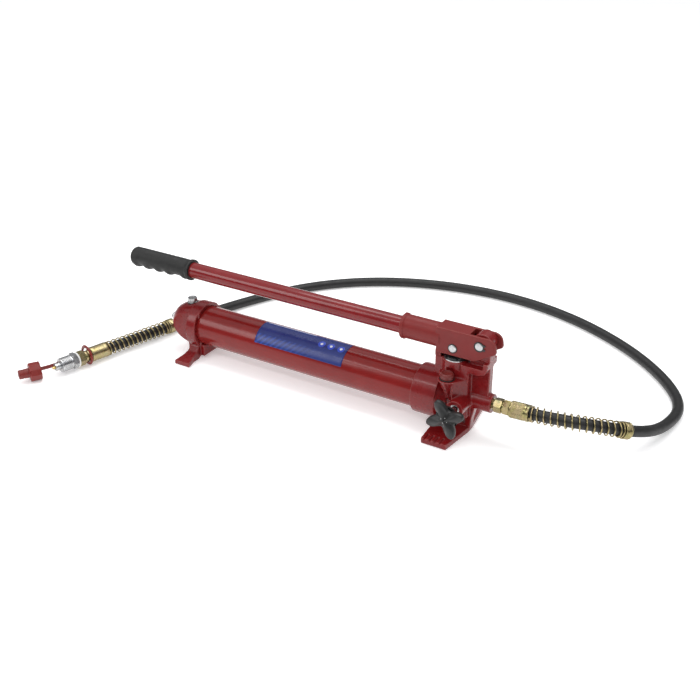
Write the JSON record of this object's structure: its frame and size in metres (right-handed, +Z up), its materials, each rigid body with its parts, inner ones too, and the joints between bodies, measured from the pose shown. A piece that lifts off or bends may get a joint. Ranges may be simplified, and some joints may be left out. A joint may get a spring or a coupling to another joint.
{
  "type": "hydraulic hand pump",
  "caption": "Lever-worked hydraulic pump: long tube reservoir on two feet, cast head with release knob, and a rubber hose with a threaded quick coupler.",
  "frame": {"origin": "on the floor, on the flat bottom of the head's foot, under the plunger's axis", "axes": "+X along the reservoir towards the hose outlet, +Y away from the release knob, +Z up"},
  "size_m": [0.8697, 0.6358, 0.153],
  "materials": {
    "red_paint": "gloss",
    "red_yoke": "satin",
    "red_plastic": "satin",
    "black_rubber": "matte",
    "black_plastic": "satin",
    "zinc": "bright zinc",
    "yellow_zinc": "yellow zinc",
    "steel": "ground",
    "spring_steel": "oiled",
    "brass": "turned",
    "white_plastic": "matte",
    "label_film": "printed film"
  },
  "bodies": {
    "root": {"cap_ring": "red_plastic", "cap_strap": "red_plastic", "coupler_body": "zinc", "coupler_washer": "white_plastic", "discharge_plug": "zinc", "discharge_spring": "spring_steel", "dust_cap": "red_plastic", "end_cap": "red_paint", "front_gasket": "black_rubber", "gland_nut": "black_plastic", "gland_washer": "zinc", "hose": "black_rubber", "hose_nut": "yellow_zinc", "label": "label_film", "outlet_ferrule": "yellow_zinc", "outlet_nipple": "yellow_zinc", "outlet_seal": "steel", "outlet_sleeve": "yellow_zinc", "outlet_spring": "spring_steel", "plunger_seal": "black_rubber", "pump_body": "red_paint", "rear_gasket": "black_rubber", "relief_cap": "red_plastic", "relief_screw": "steel", "relief_seal": "black_rubber", "relief_spring": "spring_steel", "reservoir_tube": "red_paint", "suction_pipe": "steel", "suction_plug": "zinc", "suction_seat": "steel", "tail_ferrule": "yellow_zinc", "tail_sleeve": "yellow_zinc", "tail_spring": "spring_steel", "tail_stem": "yellow_zinc", "tie_rod": "steel", "tie_rod_nut": "zinc", "tie_rod_washer": "zinc"},
    "plunger_rod": {"plunger": "steel"},
    "lever": {"yoke": "red_yoke", "pivot_pin": "zinc", "plunger_pin": "zinc", "circlips": "black_plastic", "handle_tube": "red_paint", "handle_grip": "black_rubber"},
    "release_carrier": {"release_ring": "black_rubber"},
    "release_valve": {"release_spindle": "zinc", "release_knob": "black_plastic"},
    "filler_carrier": {"filler_seal": "black_rubber"},
    "filler_screw": {"filler_plug": "zinc"},
    "suction_check": {"suction_ball": "steel"},
    "discharge_check": {"discharge_ball": "steel"},
    "relief_check": {"relief_ball": "steel"},
    "coupler_valve": {"coupler_poppet": "brass"}
  },
  "joints": [
    {"name": "lever_pivot", "type": "hinge", "parent": "root", "child": "lever", "pos_m": [0.037, 0, 0.1363], "axis": [0, 1, 0], "range_deg": [0, 40]},
    {"name": "plunger_stroke", "type": "slide", "parent": "root", "child": "plunger_rod", "axis": [0, 0, 1], "range_m": [0, 0.0268]},
    {"name": "release_turn", "type": "hinge", "parent": "release_carrier", "child": "release_valve", "pos_m": [0.019, -0.06, 0.051], "axis": [0, -1, 0], "range_deg": [0, 555]},
    {"name": "release_travel", "type": "slide", "parent": "root", "child": "release_carrier", "axis": [0, -1, 0], "range_m": [0, 0.00225]},
    {"name": "filler_turn", "type": "hinge", "parent": "filler_carrier", "child": "filler_screw", "pos_m": [-0.4445, 0, 0.08], "axis": [0, 0, 1], "range_deg": [0, 750]},
    {"name": "filler_travel", "type": "slide", "parent": "root", "child": "filler_carrier", "axis": [0, 0, 1], "range_m": [0, 0.0025]},
    {"name": "suction_lift", "type": "slide", "parent": "root", "child": "suction_check", "axis": [0, 0, 1], "range_m": [0, 0.0015]},
    {"name": "discharge_drop", "type": "slide", "parent": "root", "child": "discharge_check", "axis": [0, 0, -1], "range_m": [0, 0.001], "stiffness_N_per_m": 300, "springref_m": -0.003, "deforming": ["discharge_spring"]},
    {"name": "relief_lift", "type": "slide", "parent": "root", "child": "relief_check", "axis": [0, 0, 1], "range_m": [0, 0.001], "stiffness_N_per_m": 2000, "springref_m": -0.003, "deforming": ["relief_spring"]},
    {"name": "coupler_press", "type": "slide", "parent": "root", "child": "coupler_valve", "axis": [0.2586, 0.9658, -0.0177], "range_m": [0, 0.003], "stiffness_N_per_m": 300, "springref_m": -0.002}
  ],
  "couplings": [
    {"joint": "plunger_stroke", "follows": "lever_pivot", "m_per_rad": 0.038189},
    {"joint": "release_turn", "follows": "release_travel", "rad_per_m": 4188.8},
    {"joint": "filler_turn", "follows": "filler_travel", "rad_per_m": 5026.5}
  ]
}
